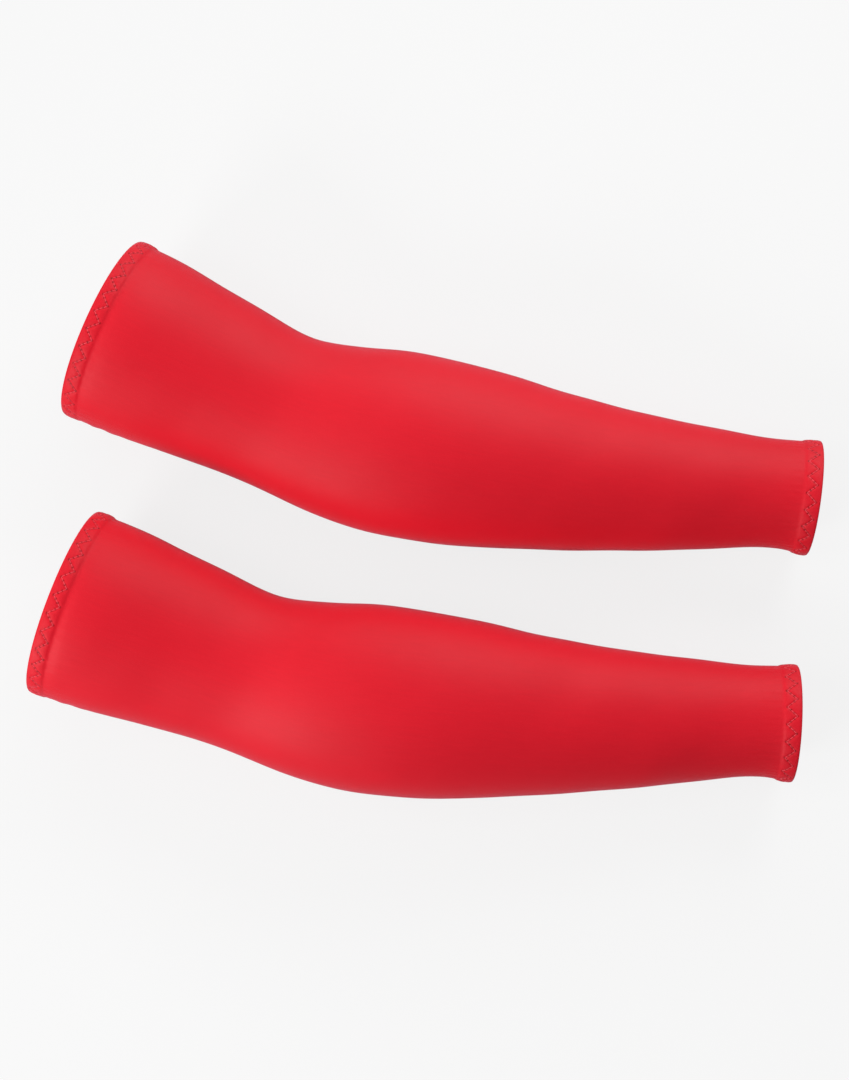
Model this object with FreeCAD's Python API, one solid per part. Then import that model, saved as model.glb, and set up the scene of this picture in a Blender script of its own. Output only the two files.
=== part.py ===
import FreeCAD
import Part

import math
import os

from FreeCAD import Vector

# A pair of elastic arm sleeves that reach from the upper arm to the wrist.
# Each sleeve is one panel of stretch cloth, rolled into a tube and closed by an
# overlocked seam on its underside. Both ends are turned in over an elastic tape
# and held by a zigzag stitch. The two lie on a table, filled out as on an arm.
# Millimetres, +Z up, +X towards the hands. The origin lies on the table, under
# the middle of the pair's bounding box.

# ---- cloth, tape and thread ----
cloth = 0.7  # thickness of the knitted cloth
tape_thick = 0.8  # elastic tape inside each hem
tape_width = 8.0
tape_play = 0.1  # clearance between tape and cloth, on every side
hem_step = 0.3  # the turned hem stands this proud of the cloth behind it
hem_rounding = 0.45  # radius of the rim's fold as a share of the hem's thickness
thread_width = 0.5
thread_height = 0.3
thread_lift = 0.35  # gap under the ends of a straight stitch on the round hem
needle_gap = 0.5  # bare cloth between two stitches

# ---- form of the filled sleeve ----
# Each station: distance along the sleeve, sideways bend, half width.
# The first and the last station are the two rims.
arm_form = [
    (0.0, 0.0, 50.5),  # upper rim
    (34.0, -6.6, 49.0),  # biceps
    (74.0, -14.5, 45.0),
    (106.0, -20.9, 43.3),  # crook of the elbow
    (134.0, -24.0, 46.7),
    (176.0, -23.7, 49.9),  # fullest part of the forearm
    (224.0, -20.8, 46.6),
    (280.0, -15.8, 39.4),
    (334.0, -8.1, 33.2),
    (370.0, -2.6, 29.6),  # waist of the wrist
    (392.0, 0.0, 30.5),  # wrist rim
]
flatness = 0.8  # height of the filled tube over its width
flats = 40  # flats round each oval, a multiple of four
fold_steps = 2  # flats round each quarter of the rim's fold
flat_limit = 1e-8  # corners this close to one plane get a plane face
hem_hover = 1.2  # the ends, stiffer than the cloth, stay this far off the table
table_sink = 3.0  # how much of the round underside the table flattens
sink_run = 60.0  # the flattening fades in over this length behind each hem

# ---- long seam ----
seam_angle = -52.0  # degrees round the sleeve, 0 is the side at +Y, -90 the table
seam_width = 5.0  # seam allowance, two layers laid to one side
seam_play = 0.3  # the allowance lies loose on the wall
seam_stitches = 40  # overlock stitches from hem to hem
seam_lean = 2.0  # how far each of them leans along the sleeve

# ---- hem stitching ----
zigzag_edge = 2.6  # from the rim to the first row of needle holes
zigzag_width = 5.0
upper_zigzags = 29
wrist_zigzags = 19

# ---- where the two sleeves lie ----
sleeve_spacing = 134.6  # sideways, between the middles of the two sleeves
sleeve_shift = 11.2  # the front one lies this much further towards the hands
sleeve_turn = 2.0  # degrees, each, so that the wrists lie closer together

# ---- worked out ----
length = arm_form[-1][0]
hem_stack = 2 * cloth + tape_thick + 2 * tape_play
hem_width = cloth + tape_width + 2 * tape_play
fold_radius = hem_rounding * hem_stack
body_stations = [u for u, bend, half in arm_form[1:-1]]

form = Part.BSplineCurve()
form.interpolate(Points=[Vector(*s) for s in arm_form], Parameters=[s[0] for s in arm_form])


def sink(u):
    """How deep the table flattens the underside at distance u, negative in the air."""
    inland = min(u, length - u) - hem_width
    share = max(0.0, min(1.0, inland / sink_run))
    eased = share * share * (3 - 2 * share)
    return eased * (table_sink + hem_hover) - hem_hover


def station(u):
    """Centre, sideways and forward directions and half width of the sleeve at u."""
    place = form.value(u)
    forward = form.tangent(u)[0]
    forward = Vector(forward.x, forward.y, 0).normalize()
    side = Vector(-forward.y, forward.x, 0)
    centre = Vector(place.x, place.y, flatness * place.z - sink(u))
    return centre, side, forward, place.z


def oval_arc(half, degrees):
    """Centre across, centre up and radius of the arc of an oval that faces an angle.

    The four arcs of the oval meet where the wall leans 45 degrees, in a common
    tangent.
    """
    spread = half * (1 - flatness) / (math.sqrt(2) - 1)  # between the two radii
    reach = spread / math.sqrt(2)  # from the middle of the oval to an arc's centre
    quarter = round(degrees / 90) % 4
    sign = 1 if quarter < 2 else -1
    if quarter % 2 == 0:
        return sign * reach, 0, half - reach
    return 0, -sign * reach, flatness * half + reach


def wall_point(u, degrees, inset):
    """Point of the wall that faces an angle, inset from the outside of the cloth.

    The table holds up the underside: no layer sinks through the one below it.
    """
    centre, side, forward, half = station(u)
    across, up, radius = oval_arc(half, degrees)
    across += (radius - inset) * math.cos(math.radians(degrees))
    up += (radius - inset) * math.sin(math.radians(degrees))
    point = centre + side * across
    return Vector(point.x, point.y, max(centre.z + up, inset, 0))


def outline(u, inset):
    """Corners of the section across the sleeve, inset from the outside of the cloth."""
    return [wall_point(u, 360 * count / flats, inset) for count in range(flats)]


def patch(a, b, c, d):
    """Face between four corners, level where they share a plane."""
    normal = (c - a).cross(d - b).normalize()
    if abs(normal.dot(b - a)) < flat_limit:
        return Part.Face(Part.makePolygon([a, b, c, d, a]))
    return Part.makeRuledSurface(Part.makeLine(a, b), Part.makeLine(d, c))


def wall(rows):
    """Solid of a wall whose faces run through a closed round of distances and insets."""
    outlines = [outline(u, inset) for u, inset in rows]
    faces = []
    for near, far in zip(outlines, outlines[1:] + outlines[:1]):
        for count in range(flats):
            after = (count + 1) % flats
            faces.append(patch(near[count], near[after], far[after], far[count]))
    shell = Part.makeShell(faces)
    shell.sewShape()
    return Part.makeSolid(Part.Shell(shell.Faces)).removeSplitter()


def stitch(start, end, crown):
    """One straight stitch between two points, its flat side facing crown."""
    run = end - start
    along = Vector(run).normalize()
    across = crown.cross(along).normalize()
    outward = along.cross(across)
    bar = Part.makeBox(run.Length - needle_gap, thread_width, thread_height)
    bar.translate(Vector(0.5 * needle_gap, -0.5 * thread_width, 0))
    axes = FreeCAD.Rotation(along, across, outward, "XZY")
    bar.Placement = FreeCAD.Placement(start, axes).multiply(bar.Placement)
    return bar


# ---- the two hems ----


def inward(rim, depth):
    """Distance along the sleeve of a depth measured inward from a rim."""
    return depth if rim == 0 else rim - depth


def fold(rim, inset, roll):
    """Rows where the end rolls over: roll is 1 on the outside, -1 on the inside."""
    rows = []
    for step in range(fold_steps + 1):
        turn = 0.5 * math.pi * step / fold_steps
        depth = fold_radius * (1 - math.cos(turn))
        rows.append((inward(rim, depth), inset + roll * fold_radius * (1 - math.sin(turn))))
    return rows


def turned_end(rim):
    """Rows of a hem, from the outside of the body, over the rim, to the body's inside.

    The cloth is folded in over the tape, and the pocket for the tape opens inwards.
    """
    outer, inner = -hem_step, hem_stack - hem_step
    mouth, bottom = inward(rim, hem_width), inward(rim, cloth)
    rows = [(mouth, 0), (mouth, outer)]
    rows += reversed(fold(rim, outer, 1))
    rows += fold(rim, inner, -1)
    rows += [(mouth, inner), (mouth, inner - cloth)]
    rows += [(bottom, inner - cloth), (bottom, outer + cloth)]
    rows += [(mouth, outer + cloth), (mouth, cloth)]
    return rows


def elastic(rim):
    """Elastic tape, a plain ring in the pocket of the hem."""
    start, end = inward(rim, cloth + tape_play), inward(rim, cloth + tape_play + tape_width)
    face = cloth - hem_step + tape_play
    back = face + tape_thick
    return wall([(start, face), (end, face), (end, back), (start, back)])


def hem_holes(rim, zigzags, inset):
    """Points over the needle holes of both rows, two for each zigzag, from one angle on."""
    rows = []
    for depth in (zigzag_edge, zigzag_edge + zigzag_width):
        corners = outline(inward(rim, depth), inset)
        ring = Part.makePolygon(corners + corners[:1])
        rows.append(ring.discretize(Number=2 * zigzags + 1)[:-1])
    return rows


def hem_thread(rim, zigzags):
    """Zigzag round the hem, each leg one straight stitch between two needle holes."""
    feet = hem_holes(rim, zigzags, -hem_step - thread_lift)
    heads = hem_holes(rim, zigzags, -hem_step - thread_lift - thread_height)
    bars = []
    for leg in range(2 * zigzags):
        after = (leg + 1) % (2 * zigzags)
        start, end = feet[leg % 2][leg], feet[after % 2][after]
        crown = heads[leg % 2][leg] - start + heads[after % 2][after] - end
        bars.append(stitch(start, end, crown))
    return Part.makeCompound(bars)


# ---- the panel and its long seam ----


def sleeve_panel():
    """One piece of cloth: the tube and both turned-in ends."""
    outside = [(u, 0) for u in body_stations]
    inside = [(u, cloth) for u in reversed(body_stations)]
    return wall(outside + turned_end(length) + inside + list(reversed(turned_end(0))))


def seam_edges(u):
    """Directions that the two long edges of the seam allowance face, in degrees."""
    across, up, radius = oval_arc(station(u)[3], seam_angle)
    return seam_angle, seam_angle + math.degrees(seam_width / radius)


def seam_stations():
    """Distances at which the seam allowance has a section, from hem to hem."""
    clear = hem_width + seam_play
    return [inward(0, clear)] + body_stations + [inward(length, clear)]


def seam_allowance():
    """The two cut edges of the panel, overlocked and laid flat inside the tube."""
    root, crown = cloth + seam_play, 3 * cloth + seam_play
    outlines = []
    for u in seam_stations():
        low, high = seam_edges(u)
        corners = [(low, root), (high, root), (high, crown), (low, crown), (low, root)]
        outlines.append(Part.makePolygon([wall_point(u, degrees, inset) for degrees, inset in corners]))
    return Part.makeLoft(outlines, True, True)


def seam_point(u, edge, inset):
    """Point at distance u over an edge of the allowance, straight between its sections."""
    stations = seam_stations()
    after = next(place for place in stations if place >= u)
    before = stations[max(0, stations.index(after) - 1)]
    share = (u - before) / max(after - before, flat_limit)
    near = wall_point(before, seam_edges(before)[edge], inset)
    far = wall_point(after, seam_edges(after)[edge], inset)
    return near + (far - near) * share


def seam_thread():
    """Overlock stitches that lean across the seam allowance."""
    first, last = inward(0, hem_width + seam_lean), inward(length, hem_width + 2 * seam_lean)
    pitch = (last - first) / seam_stitches
    foot = 3 * cloth + seam_play + thread_lift
    bars = []
    for count in range(seam_stitches):
        u = first + count * pitch
        start, end = seam_point(u, 0, foot), seam_point(u + seam_lean, 1, foot)
        head = seam_point(u, 0, foot + thread_height)
        bars.append(stitch(start, end, head - start))
    return Part.makeCompound(bars)


# ---- the pair ----


def sleeve_pieces():
    """Every piece of one sleeve, with its upper rim at the start of X."""
    return {
        "panel": sleeve_panel(),
        "seam_allowance": seam_allowance(),
        "upper_elastic": elastic(0),
        "wrist_elastic": elastic(length),
        "upper_hem_thread": hem_thread(0, upper_zigzags),
        "wrist_hem_thread": hem_thread(length, wrist_zigzags),
        "seam_thread": seam_thread(),
    }


def laid(shape, row):
    """A piece where its sleeve lies: row is 1 for the rear sleeve, -1 for the front one."""
    spot = FreeCAD.Placement()
    spot.Base = Vector(-0.5 * row * sleeve_shift, 0.5 * row * sleeve_spacing, 0)
    spot.Rotation = FreeCAD.Rotation(Vector(0, 0, 1), -row * sleeve_turn)
    moved = shape.copy()
    moved.translate(Vector(-0.5 * length, 0, 0))
    moved.Placement = spot.multiply(moved.Placement)
    return moved


pieces = sleeve_pieces()
sleeves = {"rear": 1, "front": -1}
pair = Part.makeCompound([laid(pieces["panel"], row) for row in sleeves.values()])
middle = pair.BoundBox.Center

os.makedirs("parts", exist_ok=True)
for sleeve, row in sleeves.items():
    for name, shape in pieces.items():
        piece = laid(shape, row)
        piece.translate(Vector(-middle.x, -middle.y, 0))
        piece.exportStep("parts/" + sleeve + "_" + name + ".step")
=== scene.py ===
import math

import bpy
import numpy as np
from mathutils import Matrix, Vector


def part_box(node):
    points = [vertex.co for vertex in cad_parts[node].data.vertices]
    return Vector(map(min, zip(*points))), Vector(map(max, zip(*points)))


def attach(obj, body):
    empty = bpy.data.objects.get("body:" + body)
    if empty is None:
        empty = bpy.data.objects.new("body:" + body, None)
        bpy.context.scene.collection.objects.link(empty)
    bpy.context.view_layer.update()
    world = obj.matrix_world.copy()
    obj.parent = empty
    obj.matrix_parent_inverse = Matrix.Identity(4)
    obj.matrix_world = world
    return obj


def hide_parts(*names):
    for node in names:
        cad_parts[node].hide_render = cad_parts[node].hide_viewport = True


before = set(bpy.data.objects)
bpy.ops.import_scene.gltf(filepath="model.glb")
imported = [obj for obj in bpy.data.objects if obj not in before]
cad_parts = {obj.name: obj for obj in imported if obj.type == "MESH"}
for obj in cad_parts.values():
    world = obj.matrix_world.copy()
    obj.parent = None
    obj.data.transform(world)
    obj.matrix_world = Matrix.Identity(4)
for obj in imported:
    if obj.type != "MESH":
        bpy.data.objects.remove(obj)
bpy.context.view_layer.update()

# A pair of elastic arm sleeves on a pale table, filled out as on an arm.
# Shapes are worked out in millimetres, in a frame of each sleeve's own: X runs from
# the upper rim to the wrist rim, Z is up. They are laid on the table at the end.

# the form that fills a sleeve

armForm = {
    # each is a distance from the upper rim, a sideways bend and a half width
    "stations": [(0, 0, 50.5), (34, -6.6, 49.0), (74, -14.5, 45.0), (106, -20.9, 43.3),
                 (134, -24.0, 46.7), (176, -23.7, 49.9), (224, -20.8, 46.6),
                 (280, -15.8, 39.4), (334, -8.1, 33.2), (370, -2.6, 29.6), (392, 0, 30.5)],
    "flatness": 0.8,       # height of the filled tube over its width
    "hemHover": 1.2,       # the stiff ends stay this far off the table
    "tableSink": 3.0,      # how much of the round underside the table flattens
    "sinkRun": 60.0,       # the flattening fades in over this length
    "tableBlend": 0.7,     # how softly the wall turns onto the table
    "seamAngle": -52.0,    # degrees round the sleeve, -90 is the table
    "columns": 384,        # mesh columns round the sleeve
    "closeAngles": 1441,   # the arc lengths round it are measured at this many angles
}

cloth = {
    "thickness": 0.7,
    "bodyStep": 3.8,       # mesh rows along the sleeve, outside
    "nearStep": 2.1,       # and near the hems
    "nearRun": 40.0,       # how far the closer rows go
    "liningStep": 7.5,     # the same two steps inside
    "liningNear": 4.0,
    "liningGaps": (4, 3),  # from the last rows of the hems, upper and wrist
    "seamGroove": 0.28,
    "seamGrooveWidth": 0.7,
    "swell": 0.16,         # slow unevenness of the filled cloth
    "ripple": 0.34,        # lumps behind the upper hem
    "rippleAngle": 186.0,  # where they are round the sleeve, 180 is the front side
    "rippleSpread": 24.0,
    "rippleStart": (10, 8),  # where they start along the sleeve, and over what run
    "rippleEnd": (62, 50),   # where they end, and over what run
    "gather": 0.07,        # fine gathers behind each hem
    "gatherStart": 2,      # they grow over this run from the hem
    "gatherReach": 7,      # and fade over this one
}

hem = {
    "step": 0.3,           # the hem stands this proud of the cloth behind it
    "rounding": 0.45,      # radius of the rim's fold as a share of the hem's thickness
    "groove": (0.62, 0.10),  # dip of the cloth just behind the hem, upper and wrist
    "grooveWidth": 2.6,
    "slope": 1.2,          # half the run of the step down from the hem to the cloth
    "grooveRest": 0.12,    # share of the upper dip that goes all round
    "grooveAngle": 112.0,  # where the upper one is deepest round the sleeve
    "grooveSpread": 40.0,
    "crown": 0.25,         # the tape fills out the middle of the hem
    # how far the end stands out: all round, more to the rear, and the start and
    # the length of the run it comes in over, from the hem's inner edge
    "upperFlare": (0.12, 0.44, 3.0, 6.0),
    "wristFlare": (0.45, -0.40, 7.0, 12.0),
    "behindRows": (5.6, 4.0, 2.8, 1.8),  # mesh rows behind the hem, outside
    "bandStart": 1.1,      # the rows of the hem's outside start this far behind it
    "bandRows": 19,
    "foldRows": 4,
    "insideRows": (2.6, 4.3, 5.9, 7.5),
    "cutBevel": 0.15,      # the cloth's cut edge inside is this little broken
    "rootRun": 0.6,        # the pocket's floor comes up to the lining over this run
    "bite": 0.34,          # how far the zigzag pulls the cloth in
    "biteWidth": 0.75,
    "puff": 0.12,          # and how far the cloth stands out between the stitches
    "puffWidth": 1.6,
    "pullPast": 1.2,       # the pull ends this far past the zigzag
}

tape = {
    "thickness": 0.8,
    "width": 8.0,
    "play": 0.1,
    "ribs": 7,
    "ribDepth": 0.05,
    "bevel": 0.2,
    "sideGap": 0.12,       # the ribs end this far from the tape's sides
    "rows": 29,
    "columns": 240,
}

length = armForm["stations"][-1][0]
hemStack = 2 * cloth["thickness"] + tape["thickness"] + 2 * tape["play"]
hemWidth = cloth["thickness"] + tape["width"] + 2 * tape["play"]
foldRadius = hem["rounding"] * hemStack
seamTurn = math.radians(armForm["seamAngle"])


def smoothThrough(places, values):
    # slopes of the smooth curve through the stations, with the ends' slopes taken
    # from the four stations next to them
    x = np.array(places, float)
    y = np.array(values, float)
    h = np.diff(x)
    n = len(x)
    left = np.zeros((n, n))
    right = np.zeros(n)
    for end, four in ((0, slice(0, 4)), (n - 1, slice(n - 4, n))):
        left[end, end] = 1
        right[end] = np.polyval(np.polyder(np.polyfit(x[four] - x[end], y[four], 3)), 0)
    for i in range(1, n - 1):
        left[i, i - 1] = 1 / h[i - 1]
        left[i, i] = 2 / h[i - 1] + 2 / h[i]
        left[i, i + 1] = 1 / h[i]
        right[i] = 3 * ((y[i] - y[i - 1]) / h[i - 1] ** 2 + (y[i + 1] - y[i]) / h[i] ** 2)
    return x, y, np.linalg.solve(left, right)


def along(curve, u):
    # value and slope of such a curve at u
    x, y, m = curve
    i = np.clip(np.searchsorted(x, u, side="right") - 1, 0, len(x) - 2)
    h = x[i + 1] - x[i]
    s = (u - x[i]) / h
    value = ((1 + 2 * s) * (1 - s) ** 2 * y[i] + s * (1 - s) ** 2 * h * m[i]
             + s * s * (3 - 2 * s) * y[i + 1] + s * s * (s - 1) * h * m[i + 1])
    slope = (6 * s * (s - 1) * (y[i] - y[i + 1]) / h
             + (1 - s) * (1 - 3 * s) * m[i] + s * (3 * s - 2) * m[i + 1])
    return value, slope


stations = armForm["stations"]
bendCurve = smoothThrough([s[0] for s in stations], [s[1] for s in stations])
halfCurve = smoothThrough([s[0] for s in stations], [s[2] for s in stations])


def eased(share):
    share = np.clip(share, 0, 1)
    return share * share * (3 - 2 * share)


def sink(u):
    inland = np.minimum(u, length - u) - hemWidth
    fall = armForm["tableSink"] + armForm["hemHover"]
    return eased(inland / armForm["sinkRun"]) * fall - armForm["hemHover"]


# how the cloth lies on the form: sums of waves, each wave with its run along the
# sleeve, its turns round it and its phase

random = np.random.default_rng(7)
swellWaves = [(random.uniform(25, 70), int(random.integers(1, 5)), random.uniform(0, 6.28))
              for wave in range(9)]
rippleWaves = [(random.uniform(9, 17), int(random.integers(3, 9)), random.uniform(0, 6.28))
               for wave in range(7)]
gatherWaves = [(int(random.integers(34, 62)), random.uniform(0, 6.28)) for wave in range(5)]


def flare(shape, inland, t):
    # how far a sleeve's end stands out, from its shape in the hem's dictionary
    allRound, toRear, start, run = shape
    return eased((start - inland) / run) * (allRound + toRear * np.cos(t))


def swell(u, t):
    # how far the cloth stands out of the plain form at distance u and angle t, each sum
    # of waves brought to about 1 at most
    out = np.zeros(np.broadcast(u, t).shape)
    for run, turns, phase in swellWaves:
        out = out + np.sin(2 * math.pi * u / run + turns * t + phase)
    out = cloth["swell"] * out / 3
    aside = np.degrees(np.arccos(np.cos(t - math.radians(cloth["rippleAngle"]))))
    frontSide = np.exp(-(aside / cloth["rippleSpread"]) ** 2)
    start, startRun = cloth["rippleStart"]
    end, endRun = cloth["rippleEnd"]
    nearHem = eased((u - start) / startRun) * eased((end - u) / endRun)
    lumps = np.zeros(np.broadcast(u, t).shape)
    for run, turns, phase in rippleWaves:
        lumps = lumps + np.sin(2 * math.pi * u / run + turns * t + phase)
    out = out + cloth["ripple"] * nearHem * frontSide * lumps / 3
    inland = np.minimum(u, length - u) - hemWidth
    folds = np.zeros(np.broadcast(u, t).shape)
    for turns, phase in gatherWaves:
        folds = folds + np.sin(turns * t + phase)
    fade = np.exp(-np.clip(inland, 0, None) / cloth["gatherReach"])
    behind = eased(inland / cloth["gatherStart"]) * fade
    out = out + cloth["gather"] * behind * folds / 2
    dip = np.exp(-((inland - hem["slope"]) / hem["grooveWidth"]) ** 2)
    around = np.degrees(np.arccos(np.cos(t - math.radians(hem["grooveAngle"]))))
    rest = hem["grooveRest"]
    upperDip = hem["groove"][0] * (rest + (1 - rest) * np.exp(-(around / hem["grooveSpread"]) ** 2))
    upperHalf = u < 0.5 * length
    out = out - dip * np.where(upperHalf, upperDip, hem["groove"][1])
    return out + np.where(upperHalf, flare(hem["upperFlare"], inland, t),
                          flare(hem["wristFlare"], inland, t))


def skin(u, t, inset):
    # point of the wall at distance u and angle t, inset from the outside of the cloth
    bend, slope = along(bendCurve, u)
    half = along(halfCurve, u)[0]
    low = armForm["flatness"] * half
    acrossOut = low * np.cos(t)
    upOut = half * np.sin(t)
    size = np.hypot(acrossOut, upOut)
    inward = inset - swell(u, t)
    across = half * np.cos(t) - inward * acrossOut / size
    up = low * np.sin(t) - inward * upOut / size + low - sink(u)
    ground = np.clip(inset, 0, None)
    over = up - ground
    up = ground + 0.5 * (over + np.sqrt(over * over + armForm["tableBlend"] ** 2))
    straight = np.hypot(1, slope)
    return np.stack([u - slope / straight * across, bend + across / straight, up + 0 * across],
                    axis=-1)


def roundTable(u):
    # arc length round the section from the seam, at closely spaced angles
    t = seamTurn + np.linspace(0, 2 * math.pi, armForm["closeAngles"])
    half = along(halfCurve, float(u))[0]
    points = np.stack([half * np.cos(t), armForm["flatness"] * half * np.sin(t)], axis=-1)
    steps = np.linalg.norm(np.diff(points, axis=0), axis=1)
    return t, np.concatenate([[0], np.cumsum(steps)])


def angleAt(u, arc):
    # the angle at an arc length from the seam
    t, table = roundTable(u)
    return np.interp(arc, table, t)


# meshes, from grids of points and from threads' paths

millimetre = 0.001

pairing = {
    "spacing": 134.6,      # between the two sleeves' middles
    "shift": 11.2,         # the front one lies this far to the wrist side
    "turn": 2.0,           # degrees, each turned the other way
}


def laid(points, row):
    # from a sleeve's own frame to where it lies, row 1 the rear one and -1 the front one
    turn = math.radians(-row * pairing["turn"])
    x = points[..., 0] - 0.5 * length
    y = points[..., 1]
    return np.stack([
        x * math.cos(turn) - y * math.sin(turn) - 0.5 * row * pairing["shift"],
        x * math.sin(turn) + y * math.cos(turn) + 0.5 * row * pairing["spacing"],
        points[..., 2]], axis=-1)


def linkPiece(name, mesh):
    mesh.polygons.foreach_set("use_smooth", [True] * len(mesh.polygons))
    mesh.update()
    piece = bpy.data.objects.new(name, mesh)
    bpy.context.scene.collection.objects.link(piece)
    return piece


def makeMesh(name, points, faces, uvMaps):
    # points in millimetres, and for each map the place of every corner of every face
    mesh = bpy.data.meshes.new(name)
    mesh.from_pydata((points * millimetre).tolist(), [], faces.tolist())
    for mapName, corners in uvMaps.items():
        layer = mesh.uv_layers.new(name=mapName)
        layer.data.foreach_set("uv", corners.astype(np.float32).ravel())
    return linkPiece(name, mesh)


def roundGrid(name, points, uvMaps, flip=False):
    # closed both ways: rows run round a closed profile, columns round the sleeve
    rows, columns = points.shape[:2]
    i, j = np.meshgrid(np.arange(rows), np.arange(columns), indexing="ij")
    iNext, jNext = (i + 1) % rows, (j + 1) % columns
    corners = [(i, j), (i, jNext), (iNext, jNext), (iNext, j)]
    places = [(i, j), (i, j + 1), (i + 1, j + 1), (i + 1, j)]
    if flip:
        corners.reverse()
        places.reverse()
    faces = np.stack([(a * columns + b).ravel() for a, b in corners], axis=1)
    maps = {}
    for mapName, grid in uvMaps.items():
        maps[mapName] = np.stack([grid[a, b].reshape(-1, 2) for a, b in places], axis=1)
    return makeMesh(name, points.reshape(-1, 3), faces, maps)


def strandFaces(count, sides, closed, first):
    # first is the number of points in the strands before it
    i, j = np.meshgrid(np.arange(count if closed else count - 1), np.arange(sides),
                       indexing="ij")
    iNext, jNext = (i + 1) % count, (j + 1) % sides
    quads = [i * sides + j, i * sides + jNext, iNext * sides + jNext, iNext * sides + j]
    return first + np.stack([q.ravel() for q in quads], axis=1)


def strand(path, outward, radius, sides, closed):
    # ring of points round each point of a thread's path
    if closed:
        run = np.roll(path, -1, axis=0) - np.roll(path, 1, axis=0)
    else:
        run = np.gradient(path, axis=0)
    run = run / np.linalg.norm(run, axis=1, keepdims=True)
    side = np.cross(run, outward)
    side = side / np.linalg.norm(side, axis=1, keepdims=True)
    up = np.cross(side, run)
    turn = 2 * math.pi * np.arange(sides) / sides
    ring = (np.cos(turn)[None, :, None] * side[:, None, :]
            + np.sin(turn)[None, :, None] * up[:, None, :])
    return path[:, None, :] + radius * ring


def threads(name, strands, radius, sides, row):
    # one piece of one or more threads; each strand is its path, outward and closed or not
    points = []
    faces = []
    uvs = []
    first = 0
    for path, outward, closed in strands:
        rings = strand(path, outward, radius, sides, closed)
        count = len(path)
        faces.append(strandFaces(count, sides, closed, first))
        steps = np.linalg.norm(np.diff(path, axis=0, append=path[:1]), axis=1)
        run = np.concatenate([[0], np.cumsum(steps)])
        i, j = np.meshgrid(np.arange(count if closed else count - 1), np.arange(sides),
                           indexing="ij")
        corners = [(i, j), (i, j + 1), (i + 1, j + 1), (i + 1, j)]
        places = [np.stack([b / sides, run[a]], axis=-1).reshape(-1, 2) for a, b in corners]
        uvs.append(np.stack(places, axis=1))
        points.append(laid(rings.reshape(-1, 3), row))
        first += count * sides
    return makeMesh(name, np.concatenate(points), np.concatenate(faces),
                    {"thread": np.concatenate(uvs)})


# the cloth panel: one closed wall, rolled in over a pocket at both ends


def inwardFrom(rim, depth):
    # distance along the sleeve at a depth from its upper rim, 0, or its wrist rim
    return depth if rim == 0 else rim - depth


def foldRows(rim, inset, roll):
    # the rounded fold at a rim, roll 1 from the outside in and -1 back out of the inside
    rows = []
    for step in range(hem["foldRows"] + 1):
        turn = 0.5 * math.pi * step / hem["foldRows"]
        depth = foldRadius * (1 - math.cos(turn))
        rows.append((inwardFrom(rim, depth), inset + roll * foldRadius * (1 - math.sin(turn))))
    return rows


def bandInset(depth):
    # outside of the hem at a depth from the rim, and of the cloth just behind it
    share = min(1, max(0, (depth - foldRadius) / (hemWidth - foldRadius)))
    crown = hem["crown"] * math.sin(math.pi * share)
    edge = float(eased((hemWidth + hem["slope"] - depth) / (2 * hem["slope"])))
    return -(hem["step"] + crown) * edge


def hemRows(rim):
    # from the outside of the body, over the rim, to the inside of the body
    thick = cloth["thickness"]
    inner = hemStack - hem["step"]
    bevel = hem["cutBevel"]
    rows = []
    for behind in hem["behindRows"]:
        depth = hemWidth + behind
        rows.append((inwardFrom(rim, depth), bandInset(depth)))
    for depth in np.linspace(hemWidth + hem["bandStart"], foldRadius, hem["bandRows"])[:-1]:
        rows.append((inwardFrom(rim, depth), bandInset(depth)))
    rows += list(reversed(foldRows(rim, -hem["step"], 1)))
    rows += foldRows(rim, inner, -1)
    for depth in hem["insideRows"]:
        rows.append((inwardFrom(rim, depth), inner))
    rows += [(inwardFrom(rim, hemWidth - bevel), inner),
             (inwardFrom(rim, hemWidth), inner - bevel),
             (inwardFrom(rim, hemWidth), inner - thick + bevel),
             (inwardFrom(rim, hemWidth - bevel), inner - thick),
             (inwardFrom(rim, thick), inner - thick),
             (inwardFrom(rim, thick), thick - hem["step"]),
             (inwardFrom(rim, hemWidth), thick - hem["step"]),
             (inwardFrom(rim, hemWidth + hem["rootRun"]), thick)]
    return rows


def spread(start, end, step, near):
    # distances from start to end, closer together near both
    steps = []
    u = start
    while u < end:
        steps.append(u)
        u += near if min(u - start, end - u) < cloth["nearRun"] else step
    return steps


zigzag = {
    "edge": 2.6,           # from the rim to the first row of needle holes
    "width": 5.0,
    "upperCount": 29,
    "wristCount": 19,
    "steps": 3,            # stitches in each leg
    "threadRadius": 0.21,
    "rise": 0.17,          # middle of a stitch over the cloth
    "dip": 0.42,           # its ends under it
    "bow": 4,              # how flat the top of a stitch is
    "rings": 7,            # mesh rings along a stitch
    "sides": 6,
}


def zigzagTurns(rim, t):
    # how many zigzags round the hem an angle is, from the seam
    count = zigzag["upperCount"] if rim == 0 else zigzag["wristCount"]
    angles, table = roundTable(inwardFrom(rim, zigzag["edge"] + 0.5 * zigzag["width"]))
    return count * np.interp(t, angles, table) / table[-1]


def zigzagDepth(turns):
    # depth of the zigzag from the rim at such a count
    share = 1 - np.abs(2 * (turns % 1) - 1)
    return zigzag["edge"] + zigzag["width"] * share


def stitchPull(turns, depth):
    # how deep the stitches pull the cloth in: most under a stitch, and it puffs out between
    slant = np.abs(depth - zigzagDepth(turns))
    nearest = zigzag["edge"] - hem["pullPast"]
    furthest = zigzag["edge"] + zigzag["width"] + hem["pullPast"]
    bite = hem["bite"] * np.exp(-(slant / hem["biteWidth"]) ** 2)
    puff = hem["puff"] * (1 - np.exp(-(slant / hem["puffWidth"]) ** 2))
    return np.where((depth > nearest) & (depth < furthest), bite - puff, 0)


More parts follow.
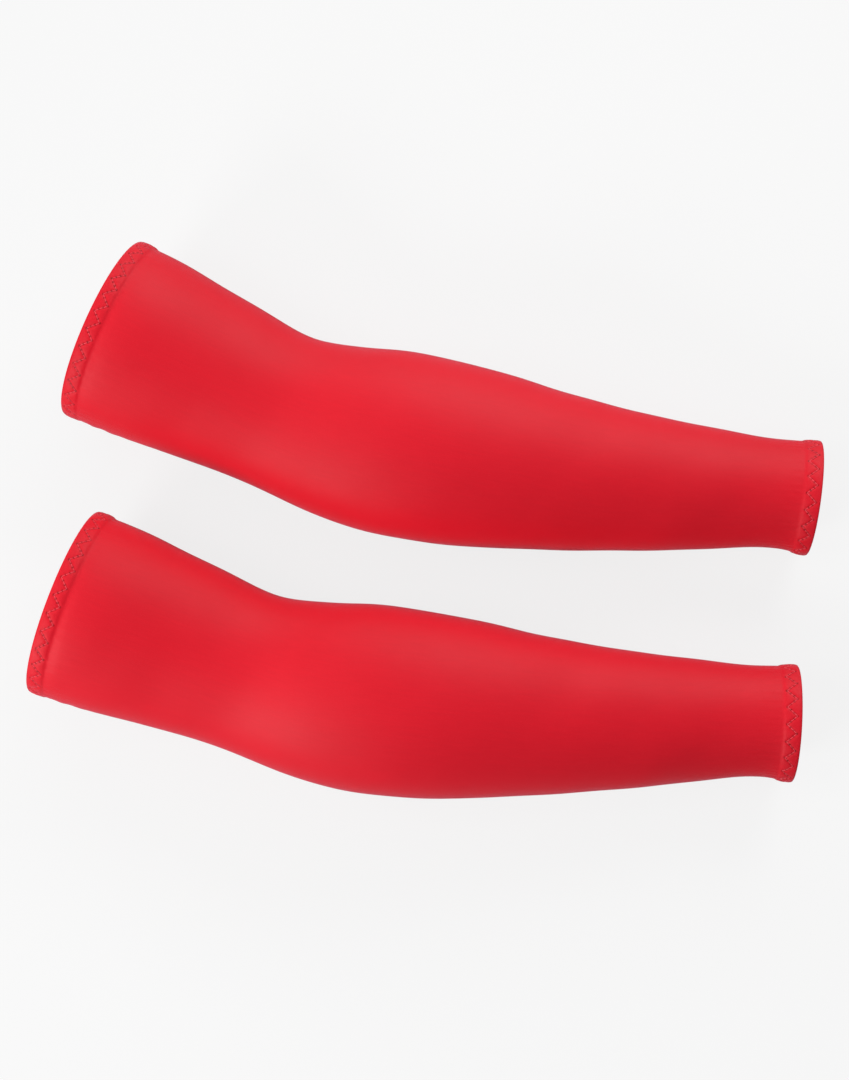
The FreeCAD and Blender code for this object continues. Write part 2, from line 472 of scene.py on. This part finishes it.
def makePanel(sleeve, row):
    rows = list(hemRows(length))
    wristInside = rows[-1][0]
    upper = list(reversed(hemRows(0)))
    outsideStart, outsideEnd = upper[-1][0], rows[0][0]
    outer = spread(outsideStart + cloth["nearStep"], outsideEnd - 1,
                   cloth["bodyStep"], cloth["nearStep"])
    upperGap, wristGap = cloth["liningGaps"]
    inner = spread(upper[0][0] + upperGap, wristInside - wristGap,
                   cloth["liningStep"], cloth["liningNear"])
    body = [(u, 0.0) for u in outer]
    lining = [(u, cloth["thickness"]) for u in reversed(inner)]
    profile = body + rows + lining + upper
    u = np.array([p[0] for p in profile])[:, None]
    inset = np.array([p[1] for p in profile])[:, None]
    columns = armForm["columns"]
    t = seamTurn + 2 * math.pi * np.arange(columns + 1)[None, :] / columns
    depth = np.minimum(u, length - u)
    hemOutside = len(hem["behindRows"]) + hem["bandRows"] - 1
    outside = np.zeros(len(profile), bool)
    outside[:len(body) + hemOutside] = True
    outside[-hemOutside:] = True
    turns = np.where(u < 0.5 * length, zigzagTurns(0, t), zigzagTurns(length, t))
    arcs = np.zeros((len(profile), columns + 1))
    for i, p in enumerate(profile):
        angles, table = roundTable(p[0])
        arcs[i] = np.interp(t[0], angles, table)
        arcs[i] -= np.interp(0.5 * math.pi, angles, table)  # the map starts at the top
    fromSeam = np.minimum(arcs - arcs[:, :1], arcs[:, -1:] - arcs)
    groove = cloth["seamGroove"] * np.exp(-(fromSeam / cloth["seamGrooveWidth"]) ** 2)
    shape = inset + np.where(outside[:, None], stitchPull(turns, depth) + groove, 0)
    points = skin(u + 0 * t, t + 0 * u, shape)[:, :-1]
    clothMap = np.stack([arcs, u + 0 * t], axis=-1)
    hemMap = np.stack([turns + 0 * u, depth + 0 * t], axis=-1)
    clothMap = np.concatenate([clothMap, clothMap[:1]])
    hemMap = np.concatenate([hemMap, hemMap[:1]])
    piece = roundGrid(sleeve + "Cloth", laid(points, row), {"cloth": clothMap, "hem": hemMap},
                      flip=True)
    print(piece.name, len(profile), "rows,", len(piece.data.polygons), "faces")
    return piece


# the elastic tapes, in the pockets of the hems


def makeTape(name, rim, row):
    face = cloth["thickness"] - hem["step"] + tape["play"]
    start = cloth["thickness"] + tape["play"]
    end = start + tape["width"]
    back = face + tape["thickness"]
    deep = tape["ribDepth"]
    bevel = tape["bevel"]
    fine = np.linspace(tape["sideGap"], tape["width"] - tape["sideGap"], tape["rows"])
    rib = deep * np.cos(2 * math.pi * tape["ribs"] * fine / tape["width"])
    profile = [(start + d, face + deep - r) for d, r in zip(fine, rib)]
    profile += [(end, face + bevel), (end, back - bevel)]
    profile += [(start + d, back - deep + r) for d, r in zip(fine[::-1], rib[::-1])]
    profile += [(start, back - bevel), (start, face + bevel)]
    u = np.array([inwardFrom(rim, p[0]) for p in profile])[:, None]
    inset = np.array([p[1] for p in profile])[:, None]
    columns = tape["columns"]
    t = seamTurn + 2 * math.pi * np.arange(columns + 1)[None, :] / columns
    points = skin(u + 0 * t, t + 0 * u, inset + 0 * t)[:, :-1]
    angles, table = roundTable(inwardFrom(rim, start))
    arc = np.interp(t, angles, table) + 0 * u
    tapeMap = np.stack([arc, np.minimum(u, length - u) + 0 * t], axis=-1)
    tapeMap = np.concatenate([tapeMap, tapeMap[:1]])
    return roundGrid(name, laid(points, row), {"tape": tapeMap}, flip=rim == 0)


# the zigzag stitching of the hems, outside and inside


def zigzagStrand(rim, side):
    # the thread of one side of the hem: side 1 outside, -1 inside the sleeve
    count = zigzag["upperCount"] if rim == 0 else zigzag["wristCount"]
    perStitch = zigzag["rings"]
    places = np.arange(2 * zigzag["steps"] * count * perStitch)
    turns = places / (2 * zigzag["steps"] * perStitch)
    share = (places % perStitch) / perStitch
    bow = 1 - np.abs(2 * share - 1) ** zigzag["bow"]
    lift = -zigzag["dip"] + (zigzag["dip"] + zigzag["rise"]) * bow
    angles, table = roundTable(inwardFrom(rim, zigzag["edge"] + 0.5 * zigzag["width"]))
    t = np.interp(turns * table[-1] / count, table, angles)
    depth = zigzagDepth(turns)
    u = inwardFrom(rim, depth)
    if side > 0:
        base = np.array([bandInset(d) for d in depth]) + stitchPull(turns, depth)
    else:
        base = (hemStack - hem["step"]) + 0 * depth
    path = skin(u, t, base - side * lift)
    above = skin(u, t, base - side * (lift + 1.0))
    return path, above - path, True


def makeZigzag(name, rim, row):
    strands = [zigzagStrand(rim, 1), zigzagStrand(rim, -1)]
    return threads(name, strands, zigzag["threadRadius"], zigzag["sides"], row)


# the long seam, inside: its two-layer allowance and the overlock thread

overlock = {
    "allowance": 5.0,
    "play": 0.3,
    "pitch": 2.6,
    "threadRadius": 0.13,
    "needleLine": 0.9,
    "endGap": 0.4,         # the allowance stops this far short of the hems' play
    "rows": 120,
    "bevel": 0.15,
    "threadEnd": 2.0,      # the thread stops this far from the hems
    "rings": 6,            # mesh rings in a stitch of the chain and of the needle thread
    "sides": 6,
}


def seamPath(u, w, inset):
    # u along the sleeve, w across the allowance from the seam
    t = np.array([float(angleAt(a, b)) for a, b in zip(u, w)])
    path = skin(u, t, inset)
    return path, skin(u, t, inset + 1.0) - path


def makeAllowance(name, row):
    thick = cloth["thickness"]
    width = overlock["allowance"]
    root = thick + overlock["play"]
    crown = root + 2 * thick
    middle = root + thick
    bevel = overlock["bevel"]
    upperEdge = width - 0.1   # the upper layer is cut a little narrower
    # across from the seam and inward from the outside of the cloth: out along the lower
    # layer, round its edge and the upper layer's, and back over the fold
    profile = [(0.0, thick + 0.02), (0.7, root - 0.1), (1.6, root),
               (width - bevel, root), (width, root + bevel),
               (width, middle - bevel), (width - 0.35, middle), (upperEdge, middle + bevel),
               (upperEdge, crown - bevel), (width - 0.25, crown),
               (1.0, crown), (0.35, crown - 0.25), (0.0, crown - 0.9)]
    start = hemWidth + overlock["play"] + overlock["endGap"]
    end = length - hemWidth - overlock["play"] - overlock["endGap"]
    u = np.linspace(start, end, overlock["rows"])
    points = []
    for w, inset in profile:
        points.append(seamPath(u, np.full(len(u), w), np.full(len(u), inset))[0])
    points = np.stack(points, axis=1)
    count, around = points.shape[:2]
    i, j = np.meshgrid(np.arange(count - 1), np.arange(around), indexing="ij")
    jNext = (j + 1) % around
    quads = [i * around + j, i * around + jNext, (i + 1) * around + jNext, (i + 1) * around + j]
    faces = np.stack([q.ravel() for q in quads], axis=1).tolist()
    faces.append(list(range(around))[::-1])
    faces.append([(count - 1) * around + k for k in range(around)])
    mesh = bpy.data.meshes.new(name)
    mesh.from_pydata((laid(points.reshape(-1, 3), row) * millimetre).tolist(), [], faces)
    layer = mesh.uv_layers.new(name="cloth")
    flat = [(profile[k % around][0], float(u[k // around])) for k in range(count * around)]
    for loop in mesh.loops:
        layer.data[loop.index].uv = flat[loop.vertex_index]
    return linkPiece(name, mesh)


def makeOverlock(name, row):
    thick = cloth["thickness"]
    crown = thick + overlock["play"] + 2 * thick
    radius = overlock["threadRadius"]
    width = overlock["allowance"]
    start = hemWidth + overlock["threadEnd"]
    end = length - hemWidth - overlock["threadEnd"]
    count = int((end - start) / overlock["pitch"])
    pitch = (end - start) / count
    out, over, rim = overlock["needleLine"], crown + 0.6 * radius, crown - thick
    # one loop of the looper thread: share of the pitch, across from the seam, inward
    loop = [(0.0, out, over - 0.05), (0.18, 0.45 * width, over),
            (0.38, 0.85 * width, over), (0.5, width + 0.12, over - 0.25),
            (0.56, width + 0.2, rim), (0.62, width + 0.12, over - 0.25),
            (0.74, 0.85 * width, over), (0.88, 0.45 * width, over)]
    u = np.array([start + (k + f) * pitch for k in range(count) for f, w, i in loop])
    w = np.array([w for k in range(count) for f, w, i in loop])
    inset = np.array([i for k in range(count) for f, w, i in loop])
    looper = seamPath(u, w, inset)
    fine = np.arange(count * overlock["rings"]) / overlock["rings"]
    # the chain that winds along the edge, and the needle thread that dips at each hole
    chain = seamPath(start + fine * pitch,
                     width + 0.16 + 0.12 * np.cos(2 * math.pi * fine),
                     rim + 0.25 * np.sin(2 * math.pi * fine))
    needle = seamPath(start + fine * pitch, 0 * fine + out,
                      crown + 0.12 - 0.4 * (np.abs(2 * (fine % 1) - 1) ** 6))
    strands = [(path, outward, False) for path, outward in (looper, chain, needle)]
    return threads(name, strands, radius, overlock["sides"], row)


# materials, all worked out in nodes


def newMaterial(name):
    material = bpy.data.materials.new(name)
    material.use_nodes = True
    nodes = material.node_tree.nodes
    nodes.clear()
    out = nodes.new("ShaderNodeOutputMaterial")
    shader = nodes.new("ShaderNodeBsdfPrincipled")
    material.node_tree.links.new(shader.outputs[0], out.inputs[0])
    return material, shader


def mathNode(tree, operation, a, b=None, c=None):
    # a, b and c are numbers or sockets
    node = tree.nodes.new("ShaderNodeMath")
    node.operation = operation
    for socket, value in zip(node.inputs, (a, b, c)):
        if value is None:
            continue
        if isinstance(value, (int, float)):
            socket.default_value = value
        else:
            tree.links.new(value, socket)
    return node.outputs[0]


def uvParts(tree, mapName):
    uv = tree.nodes.new("ShaderNodeUVMap")
    uv.uv_map = mapName
    parts = tree.nodes.new("ShaderNodeSeparateXYZ")
    tree.links.new(uv.outputs[0], parts.inputs[0])
    return parts.outputs[0], parts.outputs[1]


def product(tree, a, b):
    return mathNode(tree, "MULTIPLY", a, b)


def saw(tree, turns):
    # 0 at the start and end of each turn, 1 in its middle
    centred = mathNode(tree, "SUBTRACT", product(tree, mathNode(tree, "FRACT", turns), 2), 1)
    return mathNode(tree, "SUBTRACT", 1, mathNode(tree, "ABSOLUTE", centred))


def noise(tree, scale, detail, vector=None):
    # over the object's own metres, unless a vector is given
    node = tree.nodes.new("ShaderNodeTexNoise")
    node.inputs["Scale"].default_value = scale
    node.inputs["Detail"].default_value = detail
    node.inputs["Roughness"].default_value = 0.5
    if vector is None:
        place = tree.nodes.new("ShaderNodeTexCoord")
        vector = place.outputs["Object"]
    tree.links.new(vector, node.inputs["Vector"])
    return node.outputs["Fac"]


def colourRamp(tree, value, stops):
    ramp = tree.nodes.new("ShaderNodeValToRGB")
    tree.links.new(value, ramp.inputs[0])
    elements = ramp.color_ramp.elements
    while len(elements) < len(stops):
        elements.new(0.5)
    for element, (place, colour) in zip(elements, stops):
        element.position = place
        element.color = (*colour, 1)
    return ramp.outputs[0]


def blendColour(tree, kind, share, a, b):
    node = tree.nodes.new("ShaderNodeMix")
    node.data_type = "RGBA"
    node.blend_type = kind
    for socket, value in ((node.inputs[0], share), (node.inputs[6], a), (node.inputs[7], b)):
        if isinstance(value, (int, float)):
            socket.default_value = value
        elif isinstance(value, tuple):
            socket.default_value = (*value, 1)
        else:
            tree.links.new(value, socket)
    return node.outputs[2]


def shaded(colour, times):
    return tuple(min(1, times * c) for c in colour)


def setSheen(shader, look):
    shader.inputs["Sheen Weight"].default_value = look["sheen"]
    shader.inputs["Sheen Roughness"].default_value = look["sheenRoughness"]
    shader.inputs["Sheen Tint"].default_value = (*look["sheenTint"], 1)


def bump(tree, height, distance, strength, before=None):
    node = tree.nodes.new("ShaderNodeBump")
    node.inputs["Strength"].default_value = strength
    node.inputs["Distance"].default_value = distance
    tree.links.new(height, node.inputs["Height"])
    if before is not None:
        tree.links.new(before, node.inputs["Normal"])
    return node.outputs[0]


# a look's roughness is how much it varies and the least it is

knitLook = {
    "colour": (0.73, 0.0085, 0.022),
    "deep": (0.64, 0.006, 0.016),
    "wale": 0.46,          # width of a column of loops, in millimetres
    "course": 0.38,
    "legSlant": 0.7,       # how far a leg of a loop leans, in courses
    "valley": (0.22, 0.84),  # painted shade in the valleys between the loops: how much, and the least
    "roughness": (0.10, 0.47),
    "loopGloss": -0.06,
    "specular": 0.16,
    "sheen": 0.9,
    "sheenRoughness": 0.28,
    "sheenTint": (1.0, 0.27, 0.38),
    # painted shade: the cloth is made darker towards the wrist, where the forearm lies in shade:
    # from, to, share
    "paintedWristShade": (275.0, 350.0, 0.94),
    "streak": 0.05,        # faint streaks along the wales
    "streakScale": (0.8, 0.07),  # across them and along them
    "fleck": (0.95, 0.20, 0.22),  # fine hairs that catch the light
    "fleckShare": 0.05,
    "hole": 0.95,          # painted shade in and round each needle hole: its reach, in millimetres
    "holeShade": (0.30, 0.001, 0.004),
    "zigzagPitch": 9.5,    # about the width of one zigzag, in millimetres
    # noises, each a scale and a detail
    "broadNoise": (9, 3),
    "wornNoise": (45, 4),
    "holeNoise": (420, 1),
    "fuzzNoise": (900, 3),
    "hairNoise": (2600, 2),
    # bumps, each a distance in metres and a strength
    "wornBump": (0.0004, 0.25),
    "loopBump": (0.00007, 0.5),
    "hairBump": (0.00005, 0.3),
    "holeBump": (0.0002, 0.6),
}


def makeKnit():
    material, shader = newMaterial("stretchKnit")
    tree = material.node_tree
    look = knitLook
    x, y = uvParts(tree, "cloth")
    wale = mathNode(tree, "DIVIDE", x, look["wale"])
    course = mathNode(tree, "DIVIDE", y, look["course"])
    # each loop is a V: two slanted legs that meet in the middle of its wale
    leg = mathNode(tree, "SUBTRACT", 1, saw(tree, wale))
    slant = mathNode(tree, "ADD", course, product(tree, leg, look["legSlant"]))
    wave = mathNode(tree, "SINE", product(tree, slant, 2 * math.pi))
    yarn = mathNode(tree, "ADD", product(tree, wave, 0.25), 0.75)
    ridge = mathNode(tree, "SUBTRACT", 1, mathNode(tree, "POWER", leg, 3))
    loops = product(tree, yarn, ridge)

    broad = noise(tree, *look["broadNoise"])
    fuzz = noise(tree, *look["fuzzNoise"])
    worn = noise(tree, *look["wornNoise"])
    colour = colourRamp(tree, broad, [(0.3, look["deep"]), (0.52, look["colour"]),
                                      (1.0, shaded(look["colour"], 1.06))])
    colour = blendColour(tree, "MIX", 0.55, colour, look["colour"])
    # painted shade: darker in the valleys between the loops, a little lighter on their tops
    valley = mathNode(tree, "MULTIPLY_ADD", loops, *look["valley"])
    # long thin noise along the wales
    grain = tree.nodes.new("ShaderNodeCombineXYZ")
    for socket, value, scale in zip(grain.inputs, (x, y), look["streakScale"]):
        tree.links.new(product(tree, value, scale), socket)
    streak = mathNode(tree, "MULTIPLY_ADD", noise(tree, 1.0, 3, grain.outputs[0]),
                      2 * look["streak"], 1 - look["streak"])
    # painted shade: the colour darkens along the sleeve towards the wrist
    paintedWristShade = tree.nodes.new("ShaderNodeMapRange")
    paintedWristShade.interpolation_type = "SMOOTHSTEP"
    tree.links.new(y, paintedWristShade.inputs["Value"])
    for socket, value in zip(("From Min", "From Max", "To Max"), look["paintedWristShade"]):
        paintedWristShade.inputs[socket].default_value = value
    paintedWristShade.inputs["To Min"].default_value = 1.0
    # the painted shade of the valleys and of the wrist, with the real streaks along the wales, as
    # one factor
    valley = product(tree, product(tree, valley, streak), paintedWristShade.outputs["Result"])
    shade = tree.nodes.new("ShaderNodeCombineXYZ")
    for socket in shade.inputs:
        tree.links.new(valley, socket)
    colour = blendColour(tree, "MULTIPLY", 1.0, colour, shade.outputs[0])
    hair = noise(tree, *look["hairNoise"])
    fleck = product(tree, mathNode(tree, "GREATER_THAN", hair, 0.64), look["fleckShare"])
    colour = blendColour(tree, "MIX", fleck, colour, look["fleck"])

    # needle holes on the hems: a dip, and painted shade in and round each
    turns, depth = uvParts(tree, "hem")
    stitch = product(tree, turns, 2 * zigzag["steps"])
    nearest = mathNode(tree, "DIVIDE", mathNode(tree, "ROUND", stitch), 2 * zigzag["steps"])
    holeDepth = mathNode(tree, "MULTIPLY_ADD", saw(tree, nearest), zigzag["width"], zigzag["edge"])
    offDepth = mathNode(tree, "SUBTRACT", depth, holeDepth)
    offRound = product(tree, mathNode(tree, "SUBTRACT", turns, nearest), look["zigzagPitch"])
    away = mathNode(tree, "SQRT", mathNode(tree, "ADD", product(tree, offDepth, offDepth),
                                           product(tree, offRound, offRound)))
    rimmed = mathNode(tree, "SMOOTH_MIN", mathNode(tree, "DIVIDE", away, look["hole"]), 1, 0.2)
    hole = mathNode(tree, "MAXIMUM", mathNode(tree, "SUBTRACT", 1, rimmed), 0)
    uneven = mathNode(tree, "MULTIPLY_ADD", noise(tree, *look["holeNoise"]), 2.6, -0.2)
    # painted shade of the holes, made uneven by noise
    dark = mathNode(tree, "MINIMUM", product(tree, hole, uneven), 1)
    colour = blendColour(tree, "MIX", dark, colour, look["holeShade"])
    tree.links.new(colour, shader.inputs["Base Color"])

    rough = mathNode(tree, "MULTIPLY_ADD", worn, *look["roughness"])
    rough = mathNode(tree, "MULTIPLY_ADD", loops, look["loopGloss"], rough)
    tree.links.new(rough, shader.inputs["Roughness"])
    soft = bump(tree, worn, *look["wornBump"])
    raised = bump(tree, loops, *look["loopBump"], soft)
    hairs = bump(tree, fuzz, *look["hairBump"], raised)
    holes = bump(tree, product(tree, hole, -1), *look["holeBump"], hairs)
    tree.links.new(holes, shader.inputs["Normal"])
    shader.inputs["Specular IOR Level"].default_value = look["specular"]
    setSheen(shader, look)
    return material


threadLook = {
    "colour": (0.88, 0.085, 0.115),
    "deep": (0.40, 0.006, 0.014),   # painted shade between the two plies
    "dull": (0.8, 0.6, 0.6),
    "twist": 0.7,
    "roughness": (0.12, 0.44),
    "specular": 0.2,
    "sheen": 0.15,
    "sheenRoughness": 0.4,
    "sheenTint": (1.0, 0.25, 0.33),
    "plyBump": (0.00008, 0.8),
}


def makeThreadLook():
    material, shader = newMaterial("sewingThread")
    tree = material.node_tree
    look = threadLook
    around, run = uvParts(tree, "thread")
    turn = mathNode(tree, "ADD", product(tree, around, 2),
                    mathNode(tree, "DIVIDE", run, look["twist"]))
    ply = mathNode(tree, "ABSOLUTE", mathNode(tree, "SINE", product(tree, turn, math.pi)))
    broad = noise(tree, 60, 2)
    # painted shade in the groove between the plies, and a slight painted highlight on their crests
    colour = colourRamp(tree, ply, [(0.0, look["deep"]), (0.45, look["colour"]),
                                    (1.0, shaded(look["colour"], 1.1))])
    colour = blendColour(tree, "MULTIPLY", product(tree, broad, 0.3), colour, look["dull"])
    tree.links.new(colour, shader.inputs["Base Color"])
    rough = mathNode(tree, "MULTIPLY_ADD", broad, *look["roughness"])
    tree.links.new(rough, shader.inputs["Roughness"])
    tree.links.new(bump(tree, ply, *look["plyBump"]), shader.inputs["Normal"])
    shader.inputs["Specular IOR Level"].default_value = look["specular"]
    setSheen(shader, look)
    return material


tapeLook = {
    "colour": (0.55, 0.030, 0.042),
    "strand": (0.70, 0.055, 0.07),  # painted highlight on the strands on top of the weave
    "dull": (0.7, 0.6, 0.6),
    "weft": 0.7,
    "roughness": (0.15, 0.67),
    "sheen": 0.1,
    "weaveBump": (0.00015, 0.7),
    "grainBump": (0.00005, 0.4),
}


def makeTapeLook():
    material, shader = newMaterial("wovenElastic")
    tree = material.node_tree
    look = tapeLook
    arc, across = uvParts(tree, "tape")
    pick = mathNode(tree, "SINE", product(tree, arc, 2 * math.pi / look["weft"]))
    ribTurn = 2 * math.pi * tape["ribs"] / tape["width"]
    cords = mathNode(tree, "SINE", product(tree, across, ribTurn))
    weave = mathNode(tree, "MULTIPLY_ADD", product(tree, pick, cords), 0.5, 0.5)
    grain = noise(tree, 700, 3)
    # painted shade in the weave's hollows and painted highlight on its raised strands
    colour = colourRamp(tree, weave, [(0.0, shaded(look["colour"], 0.55)), (0.5, look["colour"]),
                                      (1.0, look["strand"])])
    colour = blendColour(tree, "MULTIPLY", product(tree, grain, 0.4), colour, look["dull"])
    tree.links.new(colour, shader.inputs["Base Color"])
    rough = mathNode(tree, "MULTIPLY_ADD", grain, *look["roughness"])
    tree.links.new(rough, shader.inputs["Roughness"])
    woven = bump(tree, weave, *look["weaveBump"])
    tree.links.new(bump(tree, grain, *look["grainBump"], woven), shader.inputs["Normal"])
    shader.inputs["Sheen Weight"].default_value = look["sheen"]
    return material


knit = makeKnit()
sewing = makeThreadLook()
elastic = makeTapeLook()
print("materials ready")

# both sleeves, piece by piece


def finishPiece(piece, material, body, node):
    # node is the CAD piece that it is shown in place of
    piece.data.materials.append(material)
    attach(piece, body)
    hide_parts(node)
    return piece


for sleeve, row in (("rear", 1), ("front", -1)):
    body = sleeve + "_sleeve"
    panel = makePanel(sleeve, row)
    others = [
        (makeAllowance(sleeve + "SeamAllowance", row), knit, "knit_cloth", "_seam_allowance"),
        (makeOverlock(sleeve + "Overlock", row), sewing, "thread", "_seam_thread"),
    ]
    for end, rim in (("Upper", 0), ("Wrist", length)):
        name = sleeve + end
        nodeName = "_" + end.lower()
        others.append((makeTape(name + "Tape", rim, row),
                       elastic, "elastic_tape", nodeName + "_elastic"))
        others.append((makeZigzag(name + "Zigzag", rim, row),
                       sewing, "thread", nodeName + "_hem_thread"))
    # each sleeve's middle goes to the middle of its CAD panel
    low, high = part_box(sleeve + "_panel")
    corners = np.array([v.co for v in panel.data.vertices])
    mine = 0.5 * (corners.min(axis=0) + corners.max(axis=0))
    theirs = 0.5 * (np.array(low) + np.array(high))
    move = (theirs - mine) * (1, 1, 0)
    print(sleeve, "moved by", (1000 * move).round(3), "mm")
    for piece in [panel] + [p[0] for p in others]:
        piece.data.transform(Matrix.Translation(move))
    finishPiece(panel, knit, body, sleeve + "_panel")
    for piece, material, slot, node in others:
        finishPiece(piece, material, body, sleeve + node)

# table, light and camera

studio = {
    "groundReach": 6.0,
    "groundDrop": 0.0002,  # the ground lies this far under the sleeves
    "groundShade": 0.932,
    "groundRoughness": 0.9,
    "groundSpecular": 0.1,
    "groundPale": 0.90,    # the ground as seen, and as it throws light back
    "groundBounce": 0.3,
    "groundGloss": 0.30,   # and as it shows in gloss, beside how it is seen
    "groundGlow": 0.88,    # how much of the plain ground shows through the shadow
    "plainFrom": 0.2,      # the shadow starts to fade at this share of the next distance
    "plainBeyond": 0.7,    # metres from the middle, past which the ground is plain
    "sky": 0.235,
    # power, then right, up and high from the middle of the pair, then width and depth
    "rearBox": (24.0, 0.0, 2.2, 0.9, 2.6, 0.6),
    "wristBox": (9.4, 0.6, 1.0, 0.8, 0.8, 0.4),
    "leftBox": (16.0, -1.0, -0.9, 0.72, 0.7, 0.4),
    "topBox": (2.8, -0.7, 0.0, 0.9, 0.5, 0.5),
}

camera = {
    "turn": 11.22,         # degrees from +X to the right of the view
    "tilt": 5.8,           # it stands this far to the front of straight overhead
    "pan": 1.2,            # and to the right
    "distance": 0.991,
    "target": (-0.0063, 0.0050, 0.036),
    "lens": 62.0,
    "sensor": 36.0,
    "nearest": 0.01,
}


def makeGround():
    # pale and lit as it is seen, duller where it throws light back on the cloth
    mesh = bpy.data.meshes.new("ground")
    reach = studio["groundReach"]
    corners = [(-reach, -reach, 0), (reach, -reach, 0), (reach, reach, 0), (-reach, reach, 0)]
    mesh.from_pydata(corners, [], [(0, 1, 2, 3)])
    ground = bpy.data.objects.new("ground", mesh)
    bpy.context.scene.collection.objects.link(ground)
    ground.location.z = -studio["groundDrop"]
    material, shader = newMaterial("paleGround")
    tree = material.node_tree
    shader.inputs["Roughness"].default_value = studio["groundRoughness"]
    shader.inputs["Specular IOR Level"].default_value = studio["groundSpecular"]
    glow = tree.nodes.new("ShaderNodeEmission")
    shade = studio["groundShade"]
    glow.inputs["Color"].default_value = (shade, shade, shade, 1)
    rays = tree.nodes.new("ShaderNodeLightPath")
    glossy = product(tree, rays.outputs["Is Glossy Ray"], studio["groundGloss"])
    seen = mathNode(tree, "MAXIMUM", rays.outputs["Is Camera Ray"], glossy)
    bounce = studio["groundBounce"]
    pale = mathNode(tree, "MULTIPLY_ADD", seen, studio["groundPale"] - bounce, bounce)
    tree.links.new(pale, shader.inputs["Base Color"])
    mix = tree.nodes.new("ShaderNodeMixShader")
    place = tree.nodes.new("ShaderNodeNewGeometry")
    away = tree.nodes.new("ShaderNodeVectorMath")
    away.operation = "LENGTH"
    tree.links.new(place.outputs["Position"], away.inputs[0])
    far = tree.nodes.new("ShaderNodeMapRange")
    far.interpolation_type = "SMOOTHSTEP"
    tree.links.new(away.outputs["Value"], far.inputs["Value"])
    far.inputs["From Min"].default_value = studio["plainFrom"] * studio["plainBeyond"]
    far.inputs["From Max"].default_value = studio["plainBeyond"]
    far.inputs["To Min"].default_value = studio["groundGlow"]
    far.inputs["To Max"].default_value = 1.0
    tree.links.new(product(tree, seen, far.outputs["Result"]), mix.inputs[0])
    tree.links.new(shader.outputs[0], mix.inputs[1])
    tree.links.new(glow.outputs[0], mix.inputs[2])
    out = next(n for n in tree.nodes if n.type == "OUTPUT_MATERIAL")
    tree.links.new(mix.outputs[0], out.inputs[0])
    mesh.materials.append(material)


def makeSky():
    # soft even light from all round, and the plain ground's shade where it is seen
    world = bpy.data.worlds.new("studio")
    bpy.context.scene.world = world
    world.use_nodes = True
    tree = world.node_tree
    tree.nodes.clear()
    out = tree.nodes.new("ShaderNodeOutputWorld")
    soft = tree.nodes.new("ShaderNodeBackground")
    soft.inputs["Color"].default_value = (1, 1, 1, 1)
    soft.inputs["Strength"].default_value = studio["sky"]
    plain = tree.nodes.new("ShaderNodeBackground")
    shade = studio["groundShade"]
    plain.inputs["Color"].default_value = (shade, shade, shade, 1)
    rays = tree.nodes.new("ShaderNodeLightPath")
    mix = tree.nodes.new("ShaderNodeMixShader")
    tree.links.new(rays.outputs["Is Camera Ray"], mix.inputs[0])
    tree.links.new(soft.outputs[0], mix.inputs[1])
    tree.links.new(plain.outputs[0], mix.inputs[2])
    tree.links.new(mix.outputs[0], out.inputs[0])


def makeLamp(name, power, place, wide, deep):
    # a soft box that points at the middle of the pair
    lamp = bpy.data.lights.new(name, "AREA")
    lamp.shape = "RECTANGLE"
    lamp.size = wide
    lamp.size_y = deep
    lamp.energy = power
    holder = bpy.data.objects.new(name, lamp)
    bpy.context.scene.collection.objects.link(holder)
    holder.location = place
    holder.visible_camera = False
    holder.rotation_euler = Vector(-place).to_track_quat("-Z", "Y").to_euler()


def makeCamera():
    data = bpy.data.cameras.new("overhead")
    data.lens = camera["lens"]
    data.sensor_width = camera["sensor"]
    data.clip_start = camera["nearest"]
    holder = bpy.data.objects.new("overhead", data)
    bpy.context.scene.collection.objects.link(holder)
    turned = Matrix.Rotation(math.radians(camera["turn"]), 3, "Z")
    tilted = Matrix.Rotation(math.radians(camera["tilt"]), 3, "X")
    panned = Matrix.Rotation(math.radians(camera["pan"]), 3, "Y")
    aim = turned @ tilted @ panned
    holder.location = Vector(camera["target"]) + aim @ Vector((0, 0, camera["distance"]))
    holder.rotation_euler = aim.to_euler()
    bpy.context.scene.camera = holder


makeGround()
makeSky()
turn = math.radians(camera["turn"])
rightward = np.array([math.cos(turn), math.sin(turn), 0])
upward = np.array([-math.sin(turn), math.cos(turn), 0])
for name in ("rearBox", "wristBox", "leftBox", "topBox"):
    power, right, up, high, wide, deep = studio[name]
    makeLamp(name, power, right * rightward + up * upward + (0, 0, high), wide, deep)
makeCamera()
bpy.context.scene.view_settings.view_transform = "Standard"
print("studio ready")
